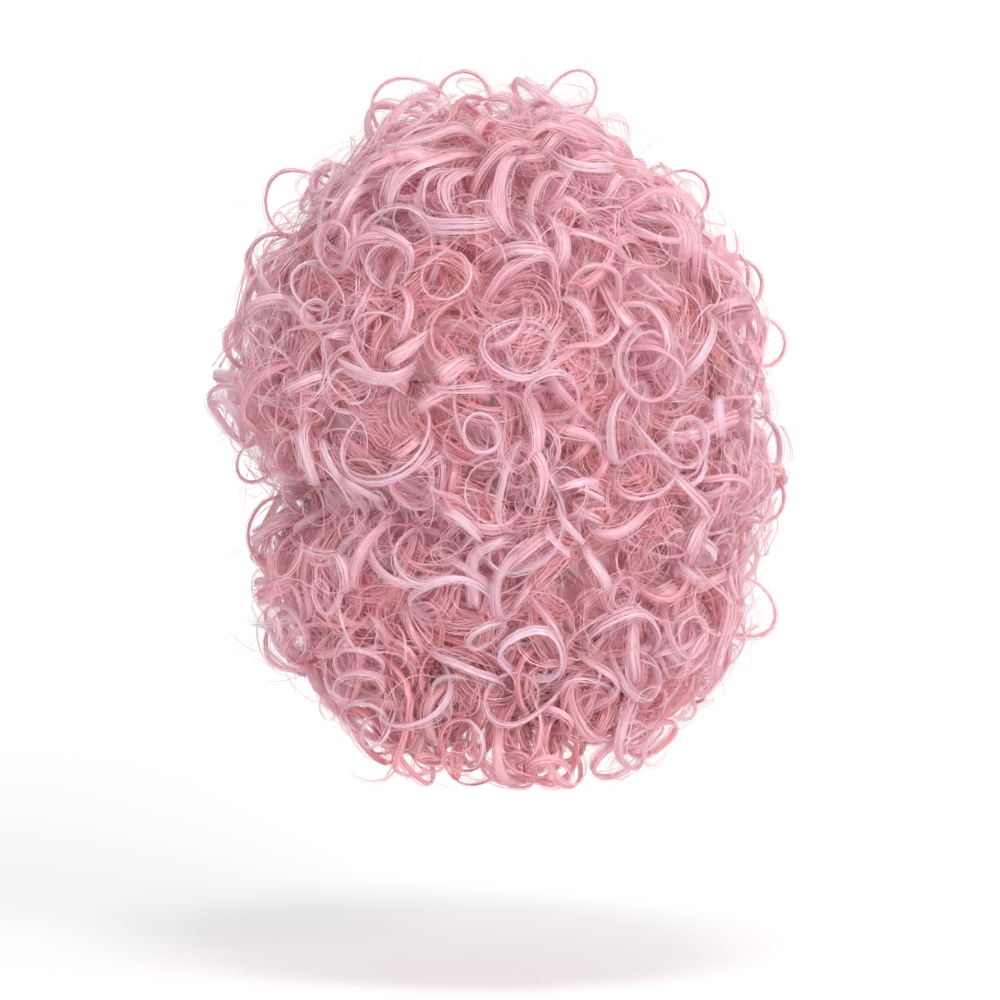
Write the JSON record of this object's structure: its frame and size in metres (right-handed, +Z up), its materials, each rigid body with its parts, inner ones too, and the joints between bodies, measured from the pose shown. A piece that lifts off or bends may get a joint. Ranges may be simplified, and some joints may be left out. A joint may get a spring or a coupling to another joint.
{
  "type": "afro wig",
  "caption": "Short full wig of curled hair: a stretch cap with an elastic edge band and rows of wefts with ring-shaped curls all over.",
  "frame": {"origin": "inside of the cap at the crown, where the top of the head sits", "axes": "+Z up, the face looks along -Y, +X to the wearer's left"},
  "size_m": [0.2915, 0.2558, 0.3498],
  "materials": {
    "cap_net": "fine stretch net",
    "elastic": "ribbed elastic webbing",
    "hair": "glossy pale pink synthetic fibre in curled locks"
  },
  "bodies": {
    "root": {"cap": "cap_net", "edge_band": "elastic", "weft_1_crown": "hair", "weft_2_top": "hair", "weft_3_brow": "hair", "weft_4_temple": "hair", "weft_5_ear": "hair", "weft_6_jaw": "hair", "weft_7_neck": "hair", "weft_8_collar": "hair", "weft_9_nape": "hair"}
  },
  "joints": []
}
